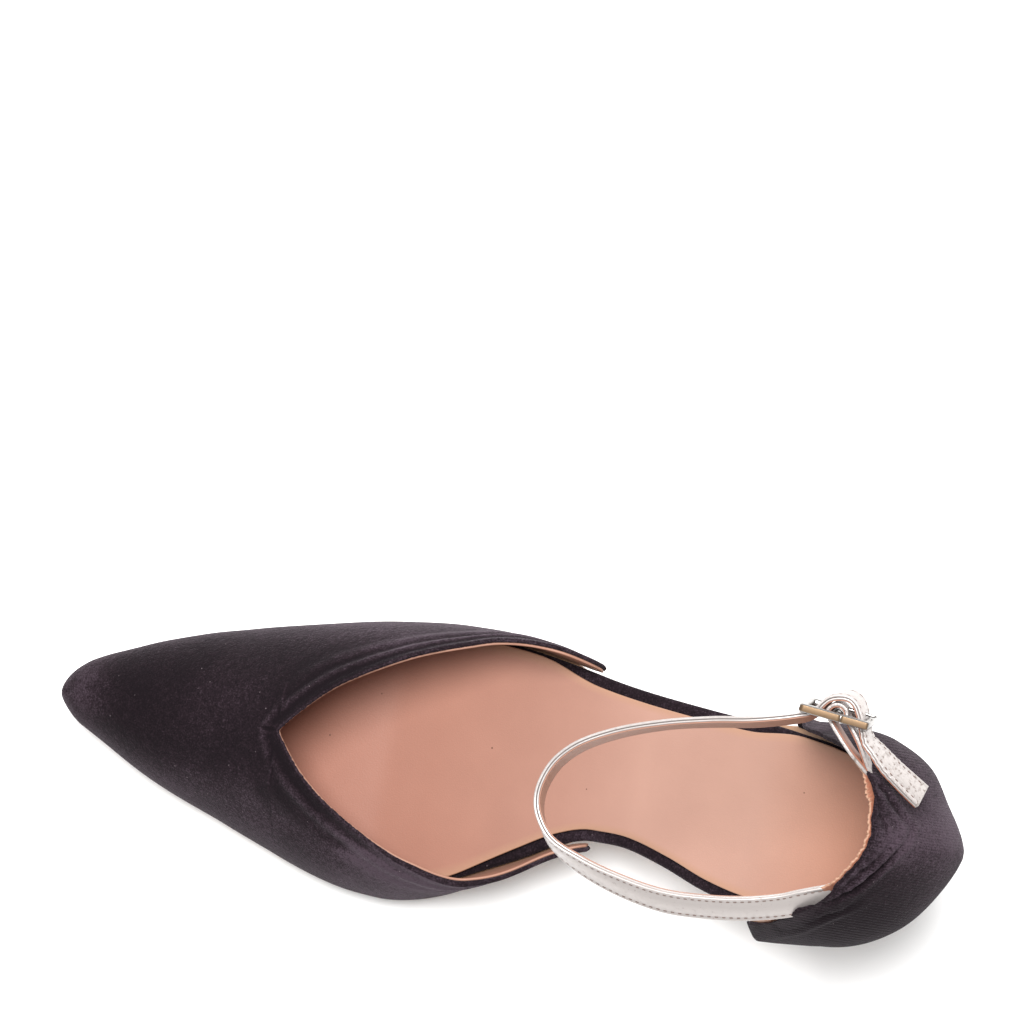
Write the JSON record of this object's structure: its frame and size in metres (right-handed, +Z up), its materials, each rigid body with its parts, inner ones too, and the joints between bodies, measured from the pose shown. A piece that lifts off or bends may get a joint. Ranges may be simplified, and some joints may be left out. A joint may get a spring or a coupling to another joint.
{
  "type": "strappy heel",
  "caption": "Right pointed-toe strappy heel: velvet vamp and heel counter, open waist, silver ankle strap with a buckle, covered mid-height heel.",
  "frame": {"origin": "middle of the heel tip's underside, on the floor that the shoe stands on", "axes": "+X along the shoe towards the toe, +Y towards the big-toe side, +Z up"},
  "size_m": [0.2657, 0.0785, 0.1075],
  "materials": {
    "velvet": "soft short-pile velvet, dark aubergine brown",
    "nude_leather": "smooth matt nude lining leather",
    "silver_leather": "silver foil over leather, finely crackled",
    "buckle_metal": "polished pale gold and silver",
    "rubber": "matt black",
    "sole_leather": "smooth tan"
  },
  "bodies": {
    "root": {"outsole": "sole_leather", "insole_board": "velvet", "sock": "nude_leather", "vamp": "velvet", "heel": "velvet", "top_piece": "rubber", "counter": "velvet", "ankle_strap": "silver_leather", "buckle_stay": "silver_leather", "buckle_frame": "buckle_metal", "buckle_prong": "buckle_metal"}
  },
  "joints": []
}
